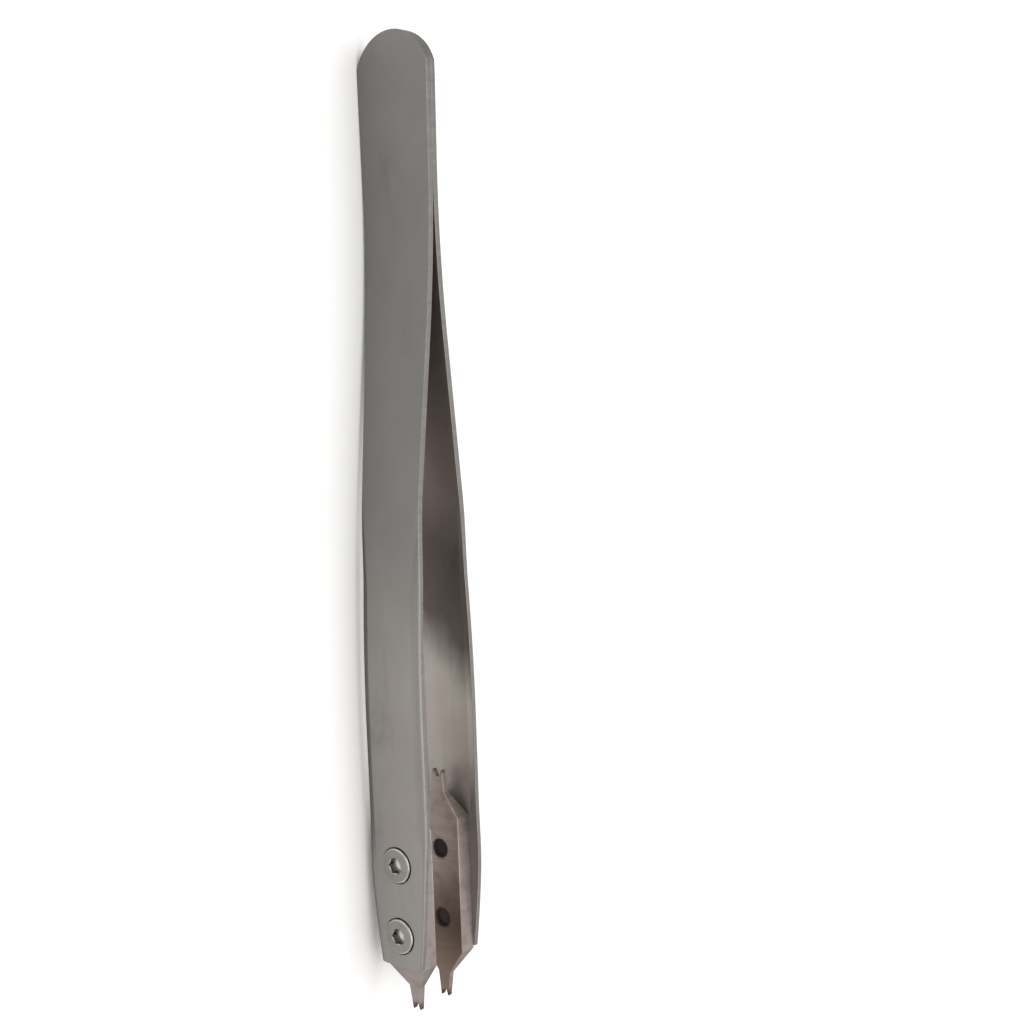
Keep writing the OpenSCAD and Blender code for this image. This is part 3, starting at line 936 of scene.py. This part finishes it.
def blank_columns():
    """Lengthwise mesh lines, as (side, distance from the edge, share of the way out from the middle)"""
    arm = settings().arm
    strip_lines, crease_lines, middle_lines, crowding = 9, 11, 7, 1.6
    crease = 2 * arm.fold_softness
    strip = arm.fold_width - crease - arm.edge_radius
    near = arm.edge_radius + strip * np.linspace(0, 1, strip_lines) ** crowding
    fine = np.linspace(arm.fold_width - crease, arm.fold_width + crease, crease_lines)[1:]
    half = [(distance, 1.0) for distance in (*near, *fine)]
    half += [(fine[-1], share) for share in np.linspace(1, 0, middle_lines)[1:-1]]
    return np.array([(-1, *line) for line in half] + [(1, fine[-1], 0.0)]
                    + [(1, *line) for line in reversed(half)])


def blank_grid():
    """Places of the blank's face points, s along it and z across it, its ends following their arcs

    The width depends on s and the end arcs on the width, so a few rounds settle them.
    """
    arm = settings().arm
    side, distance, share = blank_columns().T
    rows = round(ARM_LENGTH / arm.row_step)
    along = np.linspace(0, ARM_LENGTH, rows + 1)[:, None] + 0 * side
    tail_zone, nose_zone = 12 * MM, 9 * MM
    tail_radius, nose_radius = TAIL_WIDTH / 2 + arm.tail_blunt, arm.nose_radius
    from_tail = np.clip(1 - along / tail_zone, 0, 1)
    from_nose = np.clip(1 - (ARM_LENGTH - along) / nose_zone, 0, 1)
    s = along
    for _ in range(4):
        z = side * (half_width(s) - distance) * share
        tail = tail_radius - np.sqrt((tail_radius - arm.edge_radius) ** 2 - z ** 2)
        nose = nose_radius - np.sqrt((nose_radius - arm.edge_radius) ** 2 - z ** 2)
        s = along + tail * from_tail - nose * from_nose
    return s, side * (half_width(s) - distance) * share


def outward_steps(points):
    """At each point of a closed outline, the step that moves both its sides out by one unit"""
    ahead = np.roll(points, -1, axis=0) - points
    ahead /= np.linalg.norm(ahead, axis=1)[:, None]
    out = np.stack([-ahead[:, 1], ahead[:, 0]], axis=1)
    before = np.roll(out, 1, axis=0)
    return (out + before) / (1 + (out * before).sum(axis=1))[:, None]


def arm_blank(name):
    """The flat sheet of one arm with rounded edges, its inner face at y = 0, ready for pressing"""
    arm = settings().arm
    s, z = blank_grid()
    rows, columns = s.shape
    number = np.arange(rows * columns).reshape(rows, columns)
    border = np.concatenate([number[0, :-1], number[:-1, -1], number[-1, :0:-1], number[:0:-1, 0]])
    outline = np.stack([s.ravel()[border], z.ravel()[border]], axis=1)
    outwards = outward_steps(outline)

    def layer(points, depth):
        return np.stack([points[:, 0], np.full(len(points), depth), points[:, 1]], axis=1)

    face = np.stack([s.ravel(), z.ravel()], axis=1)
    angles = np.radians([22.5, 45, 67.5, 90])
    rings = [(np.sin(a), arm.sheet - arm.edge_radius * (1 - np.cos(a))) for a in angles]
    rings += [(np.sin(a), arm.edge_radius * (1 - np.cos(a))) for a in angles[::-1]]
    points = np.concatenate([layer(face, arm.sheet), layer(face, 0.0)] + [
        layer(outline + outwards * arm.edge_radius * reach, depth) for reach, depth in rings])

    quads = np.stack([number[:-1, :-1], number[:-1, 1:], number[1:, 1:], number[1:, :-1]], axis=-1)
    outer = quads.reshape(-1, 4)
    inner = outer[:, ::-1] + rows * columns
    ring_start = 2 * rows * columns + len(border) * np.arange(len(rings))
    loops = [border] + [start + np.arange(len(border)) for start in ring_start]
    loops.append(border + rows * columns)
    walls = [np.stack([a, b, np.roll(b, -1), np.roll(a, -1)], axis=1) for a, b in zip(loops, loops[1:])]
    faces = np.concatenate([outer, inner] + walls)

    mesh = bpy.data.meshes.new(name)
    mesh.from_pydata(points.tolist(), [], faces.tolist())
    inset = (half_width(points[:, 0]) - np.abs(points[:, 2])).astype(np.float32)
    mesh.attributes.new("inset", "FLOAT", "POINT").data.foreach_set("value", inset)
    start, size = len(outer) + len(inner), len(border)
    flat_wall = range(start + len(angles) * size, start + (len(angles) + 1) * size)
    mark_faces(mesh, "inner_face", range(len(outer), start))
    mark_faces(mesh, "cut_edge", range(start, len(faces)))
    # Faces the finish brightens as painted highlight and wear: a band in from the edge, and the rounded edges
    from_edge = inset[outer].mean(axis=1)
    band = np.flatnonzero((from_edge > arm.worn_sheen_from) & (from_edge < arm.worn_sheen_to))
    mark_faces(mesh, "wear", [*band, *(set(range(start, len(faces))) - set(flat_wall))])
    return mesh


def make_arm(name, side, material):
    arm = settings().arm
    sizes = {label: getattr(arm, label.lower().replace(" ", "_")) for label in PRESSED_SIZES}
    values = placing_values(side, material) | sizes | {
        "Fold end": fold_end(), "Seat radius": HEAD_RADIUS + arm.seat_gap}
    pressed = shape_through_tree(arm_blank(name), "Press arm", values, name)
    return new_object(name, even_shading(pressed, 40))


# ---------------------------------------------------------------- fork plates

def notched_end(fork, tip, inwards, neck, shoulder, prong, root, groove):
    """Outline of one forked end in millimetres, from its lower shoulder round the groove to the upper one"""
    mouth = prong / 2 - fork.prong_point
    bottom = tip + inwards * (fork.groove_depth - groove / 2)
    steps = 14
    turns = [math.pi * i / steps - math.pi / 2 for i in range(steps + 1)]
    bowl = [(bottom + inwards * groove / 2 * math.cos(t), groove / 2 * math.sin(t)) for t in turns]
    lower = [(tip + inwards * (neck + shoulder), -FORK_WIDTH / MM / 2), (tip + inwards * neck, -root / 2),
             (tip, -prong / 2), (tip, -mouth)]
    upper = [(x, -z) for x, z in reversed(lower)]
    return lower + bowl + upper


def fork_plate():
    """A fork plate, x from the tip screw, y outwards from the arm's inner face, without its holes"""
    fork = in_millimetres(settings().fork)
    thick, thinned = fork.thick, fork.prong_thick - fork.thick
    fine_tip = (FORK_HIGH.x - SCREW_X[0]) / MM
    wide_tip = fine_tip - FORK_LENGTH / MM
    fine = notched_end(fork, fine_tip, -1, fork.fine_neck, fork.fine_shoulder, fork.fine_prong,
                       fork.fine_root, fork.fine_groove)
    wide = notched_end(fork, wide_tip, 1, fork.wide_neck, fork.wide_shoulder, fork.wide_prong,
                       fork.wide_root, fork.wide_groove)
    plate = prism("plate", fine + wide[::-1], -2 * thick, thick, lambda x, z, y: (x, y, z))
    fine_root, wide_root = fine_tip - fork.fine_neck, wide_tip + fork.wide_neck
    past = 1.0
    side = [(fine_tip + past, -thick), (fine_tip + past, thinned), (fine_tip, thinned),
            (fine_root, fork.neck_thick - thick), (fine_root - fork.fine_shoulder, 0.0),
            (wide_root + fork.wide_shoulder, 0.0), (wide_root, fork.neck_thick - thick),
            (wide_tip, thinned), (wide_tip - past, thinned), (wide_tip - past, -thick)]
    reach = FORK_WIDTH / MM
    plate = combined(plate, "INTERSECT", prism("side", side, -reach, reach, lambda x, y, z: (x, y, z)))

    bm = bmesh.new()
    bm.from_mesh(plate.data)
    bmesh.ops.remove_doubles(bm, verts=bm.verts, dist=1e-4)
    bmesh.ops.dissolve_limit(bm, angle_limit=math.radians(1), verts=bm.verts, edges=bm.edges)
    # The broken edges are marked for the finish's painted highlight and wear
    lit_and_worn = bm.faces.layers.float.new("wear")
    corners = [e for e in bm.edges if len(e.link_faces) == 2 and e.calc_face_angle() > math.radians(25)]
    broken = bmesh.ops.bevel(bm, geom=corners, offset=fork.edge_break, offset_type="OFFSET",
                             segments=2, profile=0.5, affect="EDGES", clamp_overlap=True)
    for face in broken["faces"]:
        face[lit_and_worn] = 1.0
    drop(plate)
    return mesh_from(bm, "fork_plate", MM)


def tap_cutter():
    """What the tap removes from a plate: a threaded rod with a chamfered mouth at both ends"""
    screw, thick = in_millimetres(settings().screw), settings().fork.thick / MM
    crest, root = screw.thread / 2, screw.core / 2
    chamfer, past = 0.12, 0.4
    rod = thread("tap", root, crest, screw.pitch, -thick - past, past, lambda height: crest)
    for face in (0.0, -thick):
        out = 1 if face == 0.0 else -1
        outline = [(0, face - out * crest), (root, face - out * (crest + chamfer - root)),
                   (crest + chamfer + past, face + out * past), (0, face + out * past)]
        mouth = lathe("mouth", outline, 64)
        rod = combined(rod, "UNION", mouth)
    rod.data.transform(Matrix.Scale(MM, 4))
    return rod


def make_fork(name, side, material, plate, tap):
    values = placing_values(side, material) | turn_values(side) | {"Tap": tap}
    fitted = shape_through_tree(plate.copy(), "Fit fork plate", values, name)
    return new_object(name, even_shading(fitted, 40))


# ---------------------------------------------------------------- screws

def arc(centre, radius, start, end, steps=8):
    """Points of an arc in the (radius, height) plane, angles in degrees"""
    angles = [math.radians(start + (end - start) * i / steps) for i in range(steps + 1)]
    return [(centre[0] + radius * math.cos(a), centre[1] + radius * math.sin(a)) for a in angles]


def screw_pattern():
    """One screw in metres, its axis along Z and the arm's inner face at height 0"""
    arm, fork, screw = (in_millimetres(group) for group in
                        (settings().arm, settings().fork, settings().screw))
    radius, rim, top = HEAD_RADIUS / MM, screw.rim, arm.sheet + screw.proud
    seat, end = arm.sheet - arm.seat_depth, screw.short - fork.thick
    crown, broken_edge, rim_turn = 0.04, 0.06, 78
    head = [(0, seat), (radius - broken_edge, seat), (radius, seat + broken_edge)]
    head += arc((radius - rim, top - crown - rim), rim, 0, rim_turn)
    head += [(radius * 0.6, top - crown / 4), (radius * 0.3, top), (0, top)]
    solid = lathe("screw", head)

    play, overlap = 0.02, 0.1
    crest, root = screw.thread / 2 - play, screw.core / 2 - play
    shank = thread("shank", root, crest, screw.pitch, end, seat + overlap,
                   lambda height: max(root * 0.6, min(crest, root + height - end)))
    solid = combined(solid, "UNION", shank)

    floor, past = top - screw.hex_depth, 1
    corner = screw.hex_flats / math.sqrt(3)
    hexagon = [(corner * math.cos(math.pi / 3 * i), corner * math.sin(math.pi / 3 * i)) for i in range(6)]
    socket = prism("socket", hexagon, floor, top + past, lambda x, y, z: (x, y, z))
    drill = screw.hex_flats / 2 - 0.12
    drilled = lathe("drilled", [(0, floor - 0.35), (drill, floor + 0.1), (drill, floor + 0.3),
                                (0, floor + 0.3)], 48)
    mouth_radius = corner - 0.05
    mouth = lathe("mouth", [(0, top - mouth_radius), (mouth_radius, top), (mouth_radius + past, top + past),
                            (0, top + past)], 48)
    solid = combined(solid, "DIFFERENCE", socket, drilled, mouth)

    mesh = solid.data
    reach, lip = corner + 0.12, 0.12
    # Faces the finish paints: socket floors as painted light, socket walls as painted shade, and the rim as
    # painted highlight and wear
    floors, walls, lit_and_worn = [], [], []
    for face in mesh.polygons:
        height, aside = face.center.z, face.center.xy.length
        if aside < reach and floor - 0.5 < height < top - 0.2:
            (floors if face.normal.z > 0.5 else walls).append(face.index)
        if top - rim - 0.05 < height < top - 0.01 and not reach < aside < radius - rim:
            if aside > radius - rim or height > top - lip:
                lit_and_worn.append(face.index)
    for label, chosen in (("socket_floor", floors), ("socket_wall", walls), ("wear", lit_and_worn)):
        mark_faces(mesh, label, chosen)
    mesh.transform(Matrix.Scale(MM, 4))
    solid.data = mesh.copy()
    drop(solid)
    return mesh


def make_screws(name, side, material, pattern):
    values = placing_values(side, material) | turn_values(side)
    driven = shape_through_tree(pattern.copy(), "Drive screws", values, name)
    return new_object(name, even_shading(driven, 30))


# ---------------------------------------------------------------- stage

def stage_floor():
    """A wide pale floor with a faint paper texture"""
    bm = bmesh.new()
    half = 3.0
    corners = [bm.verts.new((x * half, y * half, 0.0)) for x, y in ((-1, -1), (1, -1), (1, 1), (-1, 1))]
    bm.faces.new(corners)
    floor = new_object("studio_floor", mesh_from(bm, "studio_floor"))
    material, g, place, _ = open_material("Studio paper")
    colour = settings().finish.floor
    fibres = noise(g, place, 900.0, 3.0)
    paper = g.mix_colour(fibres, *tones(colour, 0.985, 1.0))
    close_material(material, g, colour, 1.0, Base_Color=paper, Roughness=0.9,
                   Normal=bump(g, fibres, 0.05, 0.0001))
    floor.data.materials.append(material)


def soft_lamp(name, place, size, watts):
    """A rectangular softbox that faces the tool's middle"""
    data = bpy.data.lights.new(name, "AREA")
    data.shape = "RECTANGLE"
    data.size, data.size_y = size
    data.energy = watts
    lamp = bpy.data.objects.new(name, data)
    lamp.location = place
    lamp.rotation_euler = (-Vector(place)).to_track_quat("-Z", "Y").to_euler()
    bpy.context.scene.collection.objects.link(lamp)


def stage_camera():
    stage = settings().stage
    a, e, roll = stage.azimuth, stage.elevation, stage.roll
    back = Vector((math.sin(a) * math.cos(e), -math.cos(a) * math.cos(e), math.sin(e)))
    right = Vector((math.cos(a), math.sin(a), 0.0))
    up = back.cross(right)
    turned_right = right * math.cos(roll) + up * math.sin(roll)
    turned_up = back.cross(turned_right)
    aim = Vector(stage.aim) + Vector((0, 0, MID_Z))
    data = bpy.data.cameras.new("Camera")
    data.lens = stage.lens
    data.shift_x, data.shift_y = stage.shift
    data.sensor_width = 36.0
    data.clip_start, data.clip_end = 0.01, 20.0
    camera = bpy.data.objects.new("Camera", data)
    axes = Matrix((turned_right, turned_up, back)).transposed().to_4x4()
    camera.matrix_world = Matrix.Translation(aim + back * stage.distance) @ axes
    bpy.context.scene.collection.objects.link(camera)
    bpy.context.scene.camera = camera


def stage_light():
    world = bpy.data.worlds.new("Studio surround")
    world.use_nodes = True
    backdrop = world.node_tree.nodes["Background"]
    backdrop.inputs["Color"].default_value = (1.0, 0.985, 0.965, 1.0)
    backdrop.inputs["Strength"].default_value = settings().stage.world
    bpy.context.scene.world = world
    bpy.context.scene.view_settings.view_transform = "Standard"
    soft_lamp("Key softbox", (-0.05, -0.12, 0.80), (1.5, 1.2), 6.5)
    soft_lamp("Back softbox", (0.2, 0.75, 0.45), (0.8, 0.35), 0.8)


# ---------------------------------------------------------------- operators

class TWEEZERS_OT_arms(bpy.types.Operator):
    """Build both sprung sheet arms, pressed, drilled and finished"""
    bl_idname = "tweezers.arms"
    bl_label = "Build arms"

    def execute(self, context):
        material = arm_steel()
        front = make_arm("front_sheet_arm", FRONT, material)
        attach(front, "front")
        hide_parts("front_arm")
        rear = make_arm("rear_sheet_arm", REAR, material)
        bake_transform(rear)
        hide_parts("rear_arm")
        return {"FINISHED"}


class TWEEZERS_OT_forks(bpy.types.Operator):
    """Build both fork plates with their grooves and tapped holes"""
    bl_idname = "tweezers.forks"
    bl_label = "Build fork plates"

    def execute(self, context):
        material = fork_steel()
        plate, tap = fork_plate(), tap_cutter()
        for body, side in SIDES.items():
            piece = make_fork(body + "_fork_plate", side, material, plate, tap)
            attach(piece, body)
            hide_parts(body + "_fork")
        drop(tap)
        bpy.data.meshes.remove(plate)
        return {"FINISHED"}


class TWEEZERS_OT_screws(bpy.types.Operator):
    """Build the four low-head socket screws with their threads"""
    bl_idname = "tweezers.screws"
    bl_label = "Build screws"

    def execute(self, context):
        material = screw_steel()
        pattern = screw_pattern()
        for body, side in SIDES.items():
            piece = make_screws(body + "_screws", side, material, pattern)
            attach(piece, body)
            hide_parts(body + "_screw_tip", body + "_screw_tail")
        bpy.data.meshes.remove(pattern)
        return {"FINISHED"}


class TWEEZERS_OT_stage(bpy.types.Operator):
    """Set out the floor, the lamps and the camera"""
    bl_idname = "tweezers.stage"
    bl_label = "Build stage"

    def execute(self, context):
        stage_floor()
        stage_light()
        stage_camera()
        return {"FINISHED"}


OPERATORS = (TWEEZERS_OT_stage, TWEEZERS_OT_arms, TWEEZERS_OT_forks, TWEEZERS_OT_screws)


class TWEEZERS_PT_panel(bpy.types.Panel):
    """Lists the steps that build the tweezers"""
    bl_idname = "TWEEZERS_PT_panel"
    bl_label = "Spring bar tweezers"
    bl_space_type = "VIEW_3D"
    bl_region_type = "UI"
    bl_category = "Tweezers"

    def draw(self, context):
        for step in OPERATORS:
            self.layout.operator(step.bl_idname)


class TweezerSettings(bpy.types.PropertyGroup):
    """All sizes and colours of the tweezers"""
    arm: PointerProperty(name="Arms", description="Sizes of the arms", type=TweezerArmSettings)
    fork: PointerProperty(name="Fork plates", description="Sizes of the plates", type=TweezerForkSettings)
    screw: PointerProperty(name="Screws", description="Sizes of the screws", type=TweezerScrewSettings)
    finish: PointerProperty(name="Finishes", description="Colours of the steel", type=TweezerFinishSettings)
    stage: PointerProperty(name="Stage", description="Camera and light", type=TweezerStageSettings)


CLASSES = (TweezerArmSettings, TweezerForkSettings, TweezerScrewSettings, TweezerFinishSettings,
           TweezerStageSettings, TweezerSettings, *OPERATORS, TWEEZERS_PT_panel)


def register():
    for item in CLASSES:
        bpy.utils.register_class(item)
    bpy.types.Scene.tweezers = PointerProperty(name="Tweezers", description="Settings of the tweezers",
                                               type=TweezerSettings)


def unregister():
    del bpy.types.Scene.tweezers
    for item in reversed(CLASSES):
        bpy.utils.unregister_class(item)


def main():
    register()
    bpy.ops.tweezers.stage()
    bpy.ops.tweezers.arms()
    bpy.ops.tweezers.forks()
    bpy.ops.tweezers.screws()


if __name__ == "__main__":
    main()
